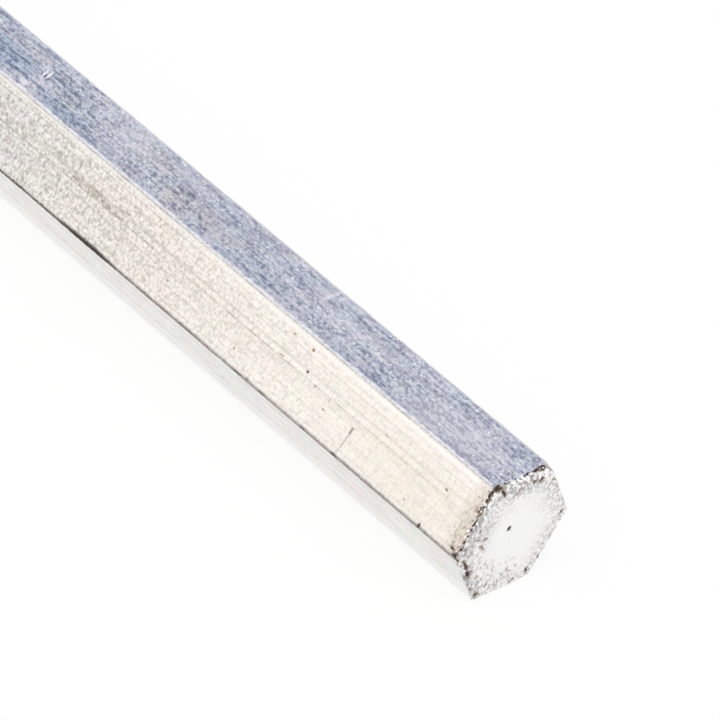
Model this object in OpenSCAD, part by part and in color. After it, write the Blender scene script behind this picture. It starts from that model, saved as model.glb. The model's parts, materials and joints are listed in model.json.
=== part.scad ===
// Hexagonal aluminium bar stock: one drawn length, cut off a little out of square at both ends.
// It lies on one flat. X runs along the bar, Z is up, and the origin is
// in the middle of the flat that it lies on.

/* [Section] */
// Width across flats, the size that the bar is sold by
across_flats = 12; // [6:0.5:30]
// Radius that the drawing die leaves on the six long corners
corner_radius = 0.55; // [0.2:0.05:1.5]

/* [Length] */
// Length from one cut end to the other, along the middle of the bar
bar_length = 300; // [100:1:1000]

/* [Cut ends] */
// How far each cut is out of square, in degrees
cut_slant = 3; // [0:0.5:8]
// Which way the cut at +X leans: 0 is towards +Y, 90 is upwards
cut_slant_turn = 45; // [0:5:355]
// How far the broken edge of a cut end reaches back along each flat
edge_break_length = 0.5; // [0.1:0.05:1.5]
// How far the broken edge of a cut end reaches in from each flat
edge_break_depth = 0.35; // [0.1:0.05:1.2]

/* [Hidden] */

FLATS = 6;
flat_angle = 360 / FLATS;
centre_height = across_flats / 2;
half_length = bar_length / 2;

// Width of one flat out to its sharp corners, and of the level stretch between the roundings
side_length = across_flats * tan(flat_angle / 2);
level_width = side_length - 2 * corner_radius * tan(flat_angle / 2);

// Centres of the corner roundings: the corners of a hexagon one radius inside the flats
rounding_reach = (centre_height - corner_radius) / cos(flat_angle / 2);

// The drawn bar starts out longer by this much at each end, and the cuts take it off
waste = across_flats;

$fn = 64;

// Section of the bar, with flats facing up and down
module section() {
    // The three pairs of opposite flats
    for (i = [0 : FLATS / 2 - 1])
        rotate(i * flat_angle)
            square([level_width, across_flats], center = true);
    // The middle that the three pairs leave open, and the six roundings
    circle(r = rounding_reach, $fn = FLATS);
    for (i = [0 : FLATS - 1])
        rotate(i * flat_angle)
            translate([-rounding_reach, 0])
                circle(r = corner_radius);
}

// What is broken off the edge between the upper flat and a cut in the plane x = 0: a wedge
// whose slope runs on past both, so that nothing but the slope meets the bar
module edge_break() {
    translate([0, side_length, 0])
        rotate([90, 0, 0])
            linear_extrude(height = 2 * side_length)
                polygon([
                    [-2 * edge_break_length, centre_height + edge_break_depth],
                    [edge_break_length, centre_height - 2 * edge_break_depth],
                    [edge_break_length, centre_height + edge_break_depth],
                ]);
}

// What the cut at +X takes off: the waste past the slanted plane, and the edges round it
module cut_off() {
    lean_axis = [0, -sin(cut_slant_turn), cos(cut_slant_turn)];
    translate([half_length, 0, 0])
        rotate(a = cut_slant, v = lean_axis) {
            translate([waste, 0, 0])
                cube([2 * waste, 4 * waste, 4 * waste], center = true);
            for (i = [0 : FLATS - 1])
                rotate([i * flat_angle, 0, 0])
                    edge_break();
        }
}

// The whole bar: one solid
module hex_bar() {
    color("#c9ccd3")
        translate([0, 0, centre_height])
            difference() {
                rotate([90, 0, 90])
                    linear_extrude(height = bar_length + 2 * waste, center = true)
                        section();
                for (end_turn = [0, 180])
                    rotate([0, 0, end_turn])
                        cut_off();
            }
}

hex_bar();
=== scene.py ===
# %% [markdown]
# # A length of hexagonal aluminium bar
# The real object is one piece of metal. It was pulled through a six-sided die, stored in a rack and
# sawn off, so all that there is to see is finish: lines from the die, scuffs, dirt in one corner
# and a ragged cut. This lesson builds one closed mesh with the relief of the corners and the cut
# in it, and two node materials, one for the drawn skin and one for the cut ends.
# The frame comes first: it holds the CAD bar, and the bar's own sizes are read from it.

# %% Load the frame
import json
import math

import bpy
import numpy as np
from mathutils import Matrix, Vector, noise


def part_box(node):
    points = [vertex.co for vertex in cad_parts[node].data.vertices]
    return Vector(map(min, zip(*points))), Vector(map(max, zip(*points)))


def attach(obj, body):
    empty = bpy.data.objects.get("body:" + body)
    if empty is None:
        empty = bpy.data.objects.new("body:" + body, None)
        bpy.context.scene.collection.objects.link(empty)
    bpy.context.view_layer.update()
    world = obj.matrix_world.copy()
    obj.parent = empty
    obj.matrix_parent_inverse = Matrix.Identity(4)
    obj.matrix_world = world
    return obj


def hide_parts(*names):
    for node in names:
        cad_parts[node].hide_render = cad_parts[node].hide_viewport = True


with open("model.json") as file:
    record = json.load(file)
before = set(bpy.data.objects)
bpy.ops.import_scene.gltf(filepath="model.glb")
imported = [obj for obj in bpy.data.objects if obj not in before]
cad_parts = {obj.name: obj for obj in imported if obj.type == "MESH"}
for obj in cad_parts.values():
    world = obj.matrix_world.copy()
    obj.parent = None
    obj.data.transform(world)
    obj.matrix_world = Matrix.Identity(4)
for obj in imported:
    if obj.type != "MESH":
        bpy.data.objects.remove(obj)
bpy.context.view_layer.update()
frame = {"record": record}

# %% [markdown]
# ## Sizes of the bar
# A hexagon bar is described by its width across flats, the rounding of its corners and its length.
# They could be typed in again here, but two copies of a size can disagree. The box of the CAD bar
# gives the first two, and the mount on its front cut gives the place and the slant of that cut. The
# hidden cut is the same one, turned half way round. The bar's sizes are in mm until its mesh is made.

# %% Read the sizes
MM = 0.001
SIDES = 6
TURN = math.tau / SIDES

low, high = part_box("hex_bar")
mounts = {mount["name"]: mount for mount in frame["record"]["mounts"]}
across_flats = (high.z - low.z) / MM
sharp_reach = across_flats / math.sqrt(3)
rounded_reach = (high.y - low.y) / 2 / MM
corner_radius = (sharp_reach - rounded_reach) / (1 / math.cos(TURN / 2) - 1)
half_length = mounts["front_cut_end"]["pos_m"][0] / MM
cut_facing = np.array(mounts["front_cut_end"]["axis"])
print(f"{across_flats:.2f} mm across flats, corners rounded to {corner_radius:.2f} mm")
print(f"cuts {half_length:.0f} mm either side of the middle")

# %% [markdown]
# ## The camera
# The bar was photographed from above its cut end with a long lens, held a little askew. A camera
# can be placed by hand, but here the edges of the bar gave the direction: they run almost parallel,
# which means a long lens far away. The camera looks at the point that shows in the middle of the
# picture.

# %% Place the camera
# Angles in degrees, places and distances in metres
VIEW_AZIMUTH = 41.04
VIEW_HEIGHT = 35.55
VIEW_ROLL = 13.22
VIEW_DISTANCE = 0.6638
VIEW_CENTRE = Vector((0.12469, 0.00441, across_flats / 2 * MM))
SENSOR_MM = 36
LENS_MM = 375
CAMERA_REACH = 20


def looking(azimuth, height, roll, centre, distance):
    """The matrix of a camera that looks at centre, from degrees round from -Y and degrees up."""
    a, h, r = (math.radians(angle) for angle in (azimuth, height, roll))
    back = Vector((math.sin(a) * math.cos(h), -math.cos(a) * math.cos(h), math.sin(h)))
    level = Vector((math.cos(a), math.sin(a), 0))
    upright = back.cross(level)
    right = level * math.cos(r) + upright * math.sin(r)
    up = upright * math.cos(r) - level * math.sin(r)
    matrix = Matrix((right, up, back)).transposed().to_4x4()
    matrix.translation = centre + back * distance
    return matrix


camera = bpy.data.objects.new("camera", bpy.data.cameras.new("camera"))
camera.data.sensor_width = SENSOR_MM
camera.data.lens = LENS_MM
camera.data.clip_end = CAMERA_REACH
camera.matrix_world = looking(VIEW_AZIMUTH, VIEW_HEIGHT, VIEW_ROLL, VIEW_CENTRE, VIEW_DISTANCE)
bpy.context.scene.collection.objects.link(camera)
bpy.context.scene.camera = camera
print("camera at", tuple(round(v, 3) for v in camera.matrix_world.translation))

# %% [markdown]
# ## The section, walked round
# Every point of the skin has two natural coordinates: how far along the bar it lies, and how far
# round the section. The walk starts at the corner below the back and passes the bottom, the lower
# front, the front, the top, the back and the lower back. Six typed corners would do for the shape, but
# not for the walk. Each side is a flat with half a rounding at both ends, so one formula gives the
# place and the outward direction anywhere on it.

# %% Describe the section
flat_width = (sharp_reach - corner_radius / math.cos(TURN / 2)) * 2 * math.sin(TURN / 2)
side_pitch = flat_width + corner_radius * TURN
girth = SIDES * side_pitch
BOTTOM, LOWER_FRONT, FRONT, TOP, BACK, LOWER_BACK = range(SIDES)


def section(around):
    """Places (y, z) and outward directions of the section at these distances round it, in mm."""
    side = np.floor(around / side_pitch)
    across = around - (side + 0.5) * side_pitch
    turn = -math.pi / 2 - side * TURN
    facing = np.stack([np.cos(turn), np.sin(turn)], -1)
    sideways = np.stack([facing[..., 1], -facing[..., 0]], -1)
    level = np.clip(across, -flat_width / 2, flat_width / 2)
    bend = ((across - level) / corner_radius)[..., None]
    outward = facing * np.cos(bend) + sideways * np.sin(bend)
    place = facing * (across_flats / 2 - corner_radius) + sideways * level[..., None]
    place = place + outward * corner_radius + np.array([0, across_flats / 2])
    return place, outward


print(f"flats {flat_width:.2f} mm wide, {girth:.2f} mm round the section")

# %% [markdown]
# ## Rough metal from noise
# The skin is never quite smooth: corners are nicked and the cut is crumbly. Sculpting that by hand
# would be slow and different each time. Blender's own noise functions give the same value at the
# same place on every run, so they are read at each point of the mesh and push it inwards.

# %% Read noise at many places
NOISE_DIMENSION = 0.9
NOISE_STEP = 2.0


def rough(places, size, offset=0.0, octaves=2):
    """Noise from about -1 to 1 at each (x, y, z) in mm, with lumps of about this size in mm."""
    shift = Vector((offset, 1.7 * offset, 0.6 * offset))
    flat = places.reshape(-1, 3) / size
    values = [noise.fractal(Vector(p) + shift, NOISE_DIMENSION, NOISE_STEP, octaves) for p in flat]
    return np.array(values).reshape(places.shape[:-1])


def fade(value, start, end):
    """0 before start and 1 past end, with a smooth step between them."""
    t = np.clip((value - start) / (end - start), 0, 1)
    return t * t * (3 - 2 * t)


def bell(distance, width):
    """1 at no distance, falling off like a bell."""
    return np.exp(-((distance / width) ** 2))


print("a bell falls to", round(float(bell(1.0, 1.0)), 3), "at its width")

# %% [markdown]
# ## The drawn length
# Between the cuts the bar is rings of points, one behind the other. A six-sided cylinder with a bevel
# would give clean corners, but these are nicked and a little wavy from the rack. So a ring has few
# points on its flats and many on its roundings, because the roundings catch the light and carry the
# nicks.

# %% Lay out the rings of the drawn length
RING_GAP = 0.6
CUT_ZONE = 2.2
ROUNDING_CELLS = 4
FLAT_STATIONS = (0, 0.03, 0.25, 0.5, 0.75, 0.97)

half_rounding = (side_pitch - flat_width) / 2
one_side = np.concatenate([
    np.linspace(0, half_rounding, ROUNDING_CELLS, endpoint=False),
    half_rounding + flat_width * np.array(FLAT_STATIONS),
    np.linspace(side_pitch - half_rounding, side_pitch, ROUNDING_CELLS, endpoint=False),
])
body_around = np.concatenate([one_side + side * side_pitch for side in range(SIDES)])
body_reach = half_length - CUT_ZONE - RING_GAP
body_along = np.linspace(-body_reach, body_reach, round(2 * body_reach / RING_GAP) + 1)
body_place, body_outward = section(body_around)
body_points = np.zeros((len(body_along), len(body_around), 3))
body_points[..., 0] = body_along[:, None]
body_points[..., 1:] = body_place
print(f"{len(body_along)} rings of {len(body_around)} points")

# %% [markdown]
# ## Nicks and waves
# Bars that knock together in a rack dent each other's corners, and the die leaves the flats very
# slightly wavy. A bump could fake both, but a corner is seen against the light, where only real shape
# shows. So the points themselves move in: the nicks only at the corners, the waves everywhere. Both
# kinds of noise are drawn out along the bar.

# %% Push in nicks and waves
NICK_DEPTH = 0.15
DEEPEST_NICK = 0.055
NICK_SIZE = 0.7
NICK_DRAW = 0.55
FULLY_NICKED = 0.15
NICKS_END = 0.5
WAVE_DEPTH = 0.012
WAVE_SIZE = 3.0
WAVE_DRAW = 0.25


def corner_distance(around):
    """How far round the section the nearest corner is."""
    return np.abs((around + side_pitch / 2) % side_pitch - side_pitch / 2)


on_corner = 1 - fade(corner_distance(body_around), FULLY_NICKED, NICKS_END)
nick_noise = rough(body_points * np.array([NICK_DRAW, 1, 1]), NICK_SIZE, offset=3)
nicks = np.clip(fade(nick_noise, 0.25, 0.9) * on_corner * NICK_DEPTH, 0, DEEPEST_NICK)
wave_noise = rough(body_points * np.array([WAVE_DRAW, 1, 1]), WAVE_SIZE, offset=9)
waves = (0.5 + 0.5 * wave_noise) * WAVE_DEPTH
body_points[..., 1:] -= (nicks + waves)[..., None] * body_outward
print(f"nicks up to {nicks.max():.3f} mm deep, waves up to {waves.max():.3f} mm")

# %% [markdown]
# ## The cut
# The saw left a pale middle with a crumbly rim, and on the sides that show, a dark crack between
# the flat and a lip of torn metal. The rim is too ragged for a bevel modifier. Instead, a fine grid
# of points runs from each flat over a rounded edge and in to the middle of the cut, ready for relief
# that pushes its points inwards. Front and top edges are torn round, the other four stay sharper.

# %% Lay the grid of one cut end
CUT_COLUMNS = 480
SKIN_RINGS = 13
EDGE_RINGS = 11
RIM_RINGS = 22
MIDDLE_RINGS = 11
EDGE_BACK = 0.5
EDGE_IN = 0.35
RIM_IN = 2.8
MIDDLE_GAP = 0.25
SHARP_EDGE = 0.3

cut_around = np.arange(CUT_COLUMNS) * girth / CUT_COLUMNS
skin_back = np.linspace(CUT_ZONE, EDGE_BACK, SKIN_RINGS, endpoint=False)
edge_angle = np.linspace(0, math.pi / 2, EDGE_RINGS)
rim_inset = np.linspace(EDGE_IN, RIM_IN, RIM_RINGS + 1)[1:]
middle_inset = np.linspace(RIM_IN, across_flats / 2 - MIDDLE_GAP, MIDDLE_RINGS + 1)[1:]
on_skin, on_rim, on_middle = 0 * skin_back, 0 * rim_inset, 0 * middle_inset
inset = np.concatenate([on_skin, EDGE_IN * (1 - np.cos(edge_angle)), rim_inset, middle_inset])
behind = np.concatenate([skin_back, EDGE_BACK * (1 - np.sin(edge_angle)), on_rim, on_middle])
tilt = np.concatenate([on_skin, edge_angle, on_rim + math.pi / 2, on_middle + math.pi / 2])
run = np.concatenate([[0], np.cumsum(np.hypot(np.diff(inset), np.diff(behind)))])
run = run - run[len(skin_back)]

torn_side = fade(cut_around, (FRONT - 0.1) * side_pitch, (FRONT + 0.1) * side_pitch)
torn_side = torn_side - fade(cut_around, (BACK - 0.05) * side_pitch, (BACK + 0.15) * side_pitch)
less_round = (1 - SHARP_EDGE) * (1 - torn_side)
skin_share = (CUT_ZONE - skin_back) / (CUT_ZONE - EDGE_BACK)
rim_share = (RIM_IN - rim_inset) / (RIM_IN - EDGE_IN)
back_share = np.concatenate([skin_share, 1 - np.sin(edge_angle), on_rim, on_middle])
in_share = np.concatenate([on_skin, 1 - np.cos(edge_angle), rim_share, on_middle])
behind = behind[:, None] - EDGE_BACK * back_share[:, None] * less_round
inset = inset[:, None] - EDGE_IN * in_share[:, None] * less_round
print(f"{len(run)} rings of {CUT_COLUMNS} points on each cut")

# %% [markdown]
# ## From grid to cut end
# The grid says how far in and how far back each point lies. Here it becomes points in space. The saw
# ran a few degrees out of square. Tilting the whole end would pull its edge off the flats, so each
# point is shifted along the bar instead, on to the slanted plane that the CAD cut has. The normals
# are worked out too, because relief is carved along them.

# %% Shape one cut end
outline, outline_outward = section(cut_around)
centre = np.array([0, across_flats / 2])
shrink = (1 - inset / (across_flats / 2))[..., None]
smooth_end = np.zeros((len(run), CUT_COLUMNS, 3))
smooth_end[..., 1:] = centre + (outline - centre) * shrink
slant = (smooth_end[..., 1:] - centre) @ cut_facing[1:] / cut_facing[0]
smooth_end[..., 0] = half_length - slant - behind
end_normal = np.zeros_like(smooth_end)
end_normal[..., 1:] = outline_outward * np.cos(tilt)[:, None, None]
end_normal += cut_facing * np.sin(tilt)[:, None, None]
from_edge = run[:, None] + 0 * cut_around
print(f"the cut is {math.degrees(math.acos(cut_facing[0])):.1f} degrees out of square")

# %% [markdown]
# ## Where the cut is dirty
# Some pits and stains on this cut are big enough to know the bar by: one small pit in the middle, a
# long one low on the left, black crumbs at the two front corners. Noise can't put those in their
# places, so they are written down as ovals. Those on the rim are placed by the walk round the
# section and over the edge, and those on the face by their place across the bar and up.

# %% Note the dirty places
SEAM = FRONT * side_pitch
RIDGE = TOP * side_pitch
TOP_MIDDLE = (TOP + 0.5) * side_pitch
# On the rim: distance round the section, distance over the edge, half length, half width, how dark
RIM_BLOTS = (
    (RIDGE + 0.5, 0.45, 0.65, 0.55, 1.0), (RIDGE - 0.3, 0.42, 0.5, 0.3, 0.85),
    (RIDGE + 1.0, 1.35, 0.2, 0.5, 0.9), (RIDGE - 1.0, 0.5, 0.5, 0.2, 0.85),
    (RIDGE - 2.2, 0.45, 0.6, 0.16, 0.7), (RIDGE - 3.3, 0.5, 0.5, 0.16, 0.7),
    (SEAM + 0.5, -0.35, 0.12, 0.3, 0.9), (SEAM - 1.2, 0.1, 0.3, 0.2, 0.9),
    (SEAM + 0.05, 0.1, 0.32, 0.3, 1.0), (SEAM, 0.45, 0.5, 0.32, 0.9),
    (SEAM - 0.6, 0.7, 0.28, 0.22, 0.8), (SEAM + 1.2, 0.62, 0.4, 0.14, 0.6),
    (TOP_MIDDLE - 0.55, 0.2, 0.34, 0.16, 0.55), (TOP_MIDDLE + 0.7, 0.22, 0.3, 0.22, 0.9),
    (TOP_MIDDLE + 1.9, 0.2, 0.45, 0.24, 1.0), (TOP_MIDDLE + 2.7, 0.04, 0.8, 0.13, 0.9),
    (TOP_MIDDLE + 3.0, 0.5, 0.8, 0.17, 0.95), (TOP_MIDDLE + 1.25, 0.62, 0.22, 0.12, 0.5),
)
# Pits in the cut: y, z, half length, half width, degrees that the long way turns from +Y, how dark
CUT_PITS = (
    (-0.43, 6.66, 0.24, 0.18, 40, 1.4), (-3.34, 6.67, 0.4, 0.14, 20, 0.62),
    (-3.63, 5.88, 0.5, 0.26, -50, 0.5), (-5.2, 4.5, 0.95, 0.2, -60, 0.85),
    (-4.66, 3.38, 0.55, 0.25, -60, 1.0), (-3.02, 0.45, 0.34, 0.3, 0, 0.66),
    (3.1, 0.85, 0.28, 0.15, 60, 1.0), (6.2, 5.95, 0.3, 0.26, 60, 0.7),
    (1.8, 10.9, 0.36, 0.2, 20, 0.75), (2.55, 10.8, 0.36, 0.24, 20, 0.75),
    (0.0, 10.65, 0.55, 0.24, 30, 0.42), (4.1, 10.3, 0.3, 0.2, 0, 0.5),
    (1.4, 0.4, 0.5, 0.15, 15, 0.55), (-2.0, 1.2, 0.22, 0.16, 0, 0.5),
    (-3.9, 1.5, 0.28, 0.22, -60, 0.55), (4.3, 1.85, 0.35, 0.11, 60, 0.7),
    (5.6, 3.9, 0.5, 0.1, 60, 0.7), (-4.15, 7.8, 0.24, 0.16, 30, 0.6),
    (-1.2, 10.9, 0.3, 0.14, 10, 0.5), (-5.6, 6.2, 0.24, 0.16, 20, 0.5),
    (-4.4, 6.9, 0.2, 0.14, 0, 0.55),
)
# Grey places on the cut, in the same order of numbers as the pits
GREY_PATCHES = (
    (-4.2, 9.9, 1.3, 0.6, 60, 1.0), (-5.1, 8.4, 1.3, 0.5, 60, 0.9), (-2.9, 11.0, 0.6, 0.5, 0, 0.8),
    (0.8, 10.5, 2.4, 0.5, 0, 0.75), (-4.6, 2.6, 1.6, 0.7, -60, 0.5), (-5.6, 6.3, 0.8, 0.6, 0, 0.7),
    (-1.6, 1.2, 2.2, 0.6, 0, 0.12), (3.9, 9.2, 1.2, 0.6, -60, 0.35), (-3.4, 7.6, 1.4, 0.8, 60, 0.4),
)
print(len(RIM_BLOTS), "places on the rim,", len(CUT_PITS), "pits and", len(GREY_PATCHES), "grey patches")

# %% [markdown]
# ## Ovals of dirt
# Every dirty place is an oval with a soft edge. It could be brushed on the mesh as vertex paint, but a
# formula can be read and run again: it gives 1 in the middle of the oval and falls off like a bell.
# Where ovals overlap, only the darkest counts, so dirt upon dirt gets no deeper.

# %% Measure the ovals
def oval(across, up, length, width, degrees=0.0):
    """1 in the middle of an oval, falling off like a bell, where across and up lead from its middle."""
    turn = math.radians(degrees)
    long_way = across * math.cos(turn) + up * math.sin(turn)
    short_way = up * math.cos(turn) - across * math.sin(turn)
    return bell(np.hypot(long_way / length, short_way / width), 1.0)


def darkest_on_face(places):
    """How dark the darkest of these places on the face makes each point of a cut end."""
    total = np.zeros(from_edge.shape)
    for y, z, length, width, degrees, dark in places:
        away = oval(smooth_end[..., 1] - y, smooth_end[..., 2] - z, length, width, degrees)
        total = np.maximum(total, dark * away)
    return total


def darkest_on_rim(places):
    """How dark the darkest of these places on the rim makes each point of a cut end."""
    total = np.zeros(from_edge.shape)
    for around, over, length, width, dark in places:
        total = np.maximum(total, dark * oval(cut_around - around, from_edge - over, length, width))
    return total


blots = darkest_on_rim(RIM_BLOTS)
pits = darkest_on_face(CUT_PITS) * fade(from_edge, 0.1, 0.5)
print((np.maximum(pits, blots) > 0.5).sum(), "points lie in a blot or a pit")

# %% [markdown]
# ## The crack
# A saw tears soft metal where its teeth leave it. That leaves a crack just over the edge: most open on
# the front, further from the edge near the lower corner, and closed in places. A modelled groove
# would look machined. Here noise decides how open the crack is, where it runs and how wide it is.

# %% Map the crack
CRACK_RUN = 0.24
CRACK_WIDTH = 0.14
CRACK_GAP_SIZE = 0.6
CRACK_WANDER_SIZE = 0.5
CRACK_FRAY_SIZE = 0.3


def crack_map(seed):
    """How open the crack is at each point of a cut end, and how far over the edge it runs there."""
    above_seam = fade(cut_around, (FRONT + 0.05) * side_pitch, (FRONT + 0.75) * side_pitch)
    above_ridge = fade(cut_around, (TOP - 0.1) * side_pitch, (TOP + 0.1) * side_pitch)
    low_side = torn_side * (1 - above_seam)
    front_side = torn_side * (1 - above_ridge)
    opening = 0.22 + 0.2 * torn_side + 0.38 * front_side + 0.9 * rough(smooth_end, CRACK_GAP_SIZE, seed)
    crack_run = CRACK_RUN + 0.4 * low_side
    crack_run = crack_run + 0.2 * rough(smooth_end, CRACK_WANDER_SIZE, seed + 5, octaves=3)
    crack_width = CRACK_WIDTH * (0.45 + 0.55 * torn_side)
    crack_width = crack_width * (1 + 0.6 * rough(smooth_end, CRACK_FRAY_SIZE, seed + 8))
    return np.clip(opening, 0, 1) * bell((from_edge - crack_run) / crack_width, 1.0), crack_run


print(f"the crack runs {CRACK_RUN} mm over the edge, and further in the lower half of the front")

# %% [markdown]
# ## Crumbs and specks
# Behind the crack the rim is crumbly, and finer specks reach further in. A few loose crumbs stand in
# the crack and stay bright. All three are noise with a threshold, each with lumps of its own size and
# a ring of its own round the cut. Scattered small meshes would cost far more triangles.

# %% Map the crumbs
CRUMB_SIZE = 0.36
SPECK_SIZE = 0.27
LOOSE_SIZE = 0.3


def crumb_maps(seed):
    """Crumbs of the rim, specks further in and loose crumbs at each point of a cut end, from 0 to 1."""
    rim = fade(from_edge, 0.05, 0.4) * (1 - fade(from_edge, 1.0, 2.2))
    crumbs = rim * fade(rough(smooth_end, CRUMB_SIZE, seed + 11, octaves=3), -0.3, 0.6)
    ring = fade(from_edge, 0.4, 0.9) * (1 - fade(from_edge, 2.0, 3.6))
    specks = ring * fade(rough(smooth_end, SPECK_SIZE, seed + 17), 0.05, 0.6)
    loose = bell(from_edge - CRACK_RUN - 0.15, 0.45) * (0.2 + 0.8 * torn_side) * (1 - blots)
    loose = loose * fade(rough(smooth_end, LOOSE_SIZE, seed + 23), 0.05, 0.4)
    return crumbs, specks, loose


print(f"crumbs of {CRUMB_SIZE} mm, specks of {SPECK_SIZE} mm, loose crumbs of {LOOSE_SIZE} mm")

# %% [markdown]
# ## The relief of the cut
# The crack, the crumbs, the specks and the dirty places all lie below the smooth surface, and two
# corners are worn round. A displacement modifier with a texture could push them in, but then the
# materials could not know where they lie. Here each is a map of depths, so the maps that push the
# points in also say how dark they are painted: dirt in the pits and blots, and painted shade in the
# crack, the pits and the hollows between crumbs.

# %% Carve the relief
CRACK_DEPTH = 0.2
CRUMB_DEPTH = 0.2
SPECK_DEPTH = 0.08
PIT_DEPTH = 0.16
WEAR_DEPTH = 0.2


def carve(seed):
    """A cut end's points pushed in, their dirt with painted shade, their grey shade and crumbs, and
    which of them are sawn.
    """
    crack, crack_run = crack_map(seed)
    crumbs, specks, loose = crumb_maps(seed)
    worn = bell(cut_around - BACK * side_pitch, 0.6) + 0.8 * bell(cut_around - 0.05, 0.9)
    rounding = worn * bell(from_edge - 0.35, 0.5)
    depth = CRACK_DEPTH * crack + CRUMB_DEPTH * crumbs + SPECK_DEPTH * specks
    depth = (depth + PIT_DEPTH * np.maximum(pits, blots)) * (1 - 0.8 * loose) + WEAR_DEPTH * rounding
    # Dark in the crack, pits, blots and hollows between crumbs: partly dirt, partly painted shade
    dirt_and_shade = np.maximum(np.maximum(1.1 * crack, pits), blots) + 0.35 * specks * crumbs
    dirt_and_shade = np.clip(dirt_and_shade, 0, 1) * (1 - 0.95 * loose)
    carved = smooth_end - end_normal * depth[..., None]
    return carved, np.stack([dirt_and_shade, darkest_on_face(GREY_PATCHES), loose], -1), from_edge > crack_run


front_points, front_dirt_and_shade, front_sawn = carve(seed=2.0)
hidden_points, hidden_dirt_and_shade, hidden_sawn = carve(seed=41.0)
print(f"{front_sawn.sum()} of {front_sawn.size} points of the front cut lie on sawn metal")

# %% [markdown]
# ## One closed mesh
# The drawn length and the two cuts become a single mesh, as the bar is a single piece. Blender's
# bridge tool could join separate pieces, but it knows nothing of distances. Here each corner of each
# face remembers how far along and round the bar it is, because the materials paint by those two.

# %% Collect points and faces
points = []
dirt_and_shade = []
faces = []
corner_places = []
face_is_cut = []


def add_ring(ring, ring_dirt_and_shade):
    """Adds a ring of points to the mesh and returns its point numbers."""
    first = len(points)
    points.extend(ring.tolist())
    dirt_and_shade.extend(ring_dirt_and_shade.tolist())
    return list(range(first, first + len(ring)))


def add_face(corners, is_cut, turned):
    """Adds a face from (point, along, around) corners, the other way round where turned is set."""
    corners = corners[::-1] if turned else corners
    faces.append([corner[0] for corner in corners])
    corner_places.extend(corner[1:] for corner in corners)
    face_is_cut.append(is_cut)


print("lists ready for points and faces")

# %% [markdown]
# ## Rings into faces
# Rings with the same number of points are joined by quads. A ring of the drawn length has fewer points
# than a ring of a cut, as fine rings all along it would waste most of the faces. So a strip of
# triangles zips those two together: it steps along whichever ring is behind, as the two sides of a
# zip do. The drawn length is joined up first.

# %% Join rings into faces
def join(ring_a, ring_b, around, along_a, along_b, sawn=None, turned=False):
    """Joins two rings of as many points by quads, which are sawn metal where ring_a's points are."""
    walk = np.append(around, girth)
    for j in range(len(ring_a)):
        k = (j + 1) % len(ring_a)
        add_face([
            (ring_a[j], along_a, walk[j]),
            (ring_b[j], along_b, walk[j]),
            (ring_b[k], along_b, walk[j + 1]),
            (ring_a[k], along_a, walk[j + 1]),
        ], sawn is not None and bool(sawn[j]), turned)


def zip_up(ring_a, around_a, along_a, ring_b, around_b, along_b, turned=False):
    """Joins two rings that have different numbers of points by triangles."""
    walk_a, walk_b = np.append(around_a, girth), np.append(around_b, girth)
    ring_a, ring_b = ring_a + ring_a[:1], ring_b + ring_b[:1]
    i, j = 0, 0
    while i < len(ring_a) - 1 or j < len(ring_b) - 1:
        start = [(ring_a[i], along_a, walk_a[i]), (ring_b[j], along_b, walk_b[j])]
        step_a = j == len(ring_b) - 1 or (i < len(ring_a) - 1 and walk_a[i + 1] <= walk_b[j + 1])
        if step_a:
            i += 1
            add_face(start + [(ring_a[i], along_a, walk_a[i])], False, turned)
        else:
            j += 1
            add_face(start + [(ring_b[j], along_b, walk_b[j])], False, turned)


body_rings = [add_ring(ring, np.zeros((len(ring), 3))) for ring in body_points]
for k in range(len(body_rings) - 1):
    join(body_rings[k], body_rings[k + 1], body_around, body_along[k], body_along[k + 1])
print(len(faces), "faces on the drawn length")

# %% [markdown]
# ## Both ends
# Only one end of the bar was photographed. The other was cut off the same way. A copy of the front cut
# would look false, so it gets the same kind of cut with other noise in it. It is turned half way round
# the upright, and a walk round it then runs backwards, which is why its columns are put in a new order
# before the rings are joined.

# %% Close both ends
def close_end(end_points, end_dirt_and_shade, end_sawn, body_ring, body_end, turned):
    """Adds a cut end's rings, zips them to the drawn length and closes the middle."""
    sign = -1 if turned else 1
    rings = [add_ring(ring, ring_dirt_and_shade) for ring, ring_dirt_and_shade in zip(end_points, end_dirt_and_shade)]
    along = sign * (half_length - EDGE_BACK + run)
    zip_up(body_ring, body_around, body_end, rings[0], cut_around, along[0], turned)
    for k in range(len(rings) - 1):
        join(rings[k], rings[k + 1], cut_around, along[k], along[k + 1], end_sawn[k], turned)
    middle = add_ring(end_points[-1].mean(0, keepdims=True), np.zeros((1, 3)))[0]
    walk = np.append(cut_around, girth)
    for j in range(CUT_COLUMNS):
        k = (j + 1) % CUT_COLUMNS
        add_face([
            (rings[-1][j], along[-1], walk[j]),
            (middle, along[-1] + sign, (walk[j] + walk[j + 1]) / 2),
            (rings[-1][k], along[-1], walk[j + 1]),
        ], True, turned)


turn_back = (CUT_COLUMNS // SIDES - np.arange(CUT_COLUMNS)) % CUT_COLUMNS
hidden_points = hidden_points[:, turn_back] * np.array([-1, -1, 1])
hidden_dirt_and_shade = hidden_dirt_and_shade[:, turn_back]
hidden_sawn = hidden_sawn[:, turn_back]
close_end(front_points, front_dirt_and_shade, front_sawn, body_rings[-1], body_along[-1], turned=False)
close_end(hidden_points, hidden_dirt_and_shade, hidden_sawn, body_rings[0], body_along[0], turned=True)
print(len(points), "points and", len(faces), "faces in all")

# %% [markdown]
# ## The mesh itself
# Lists of points and faces are turned into a Blender mesh in one call, which is far quicker than adding
# vertices one at a time. Faces are shaded smooth, so that the fine grid doesn't show, and each face
# knows if it is skin or sawn metal. Points are held inside the CAD bar's box, as relief may only cut in.

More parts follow.
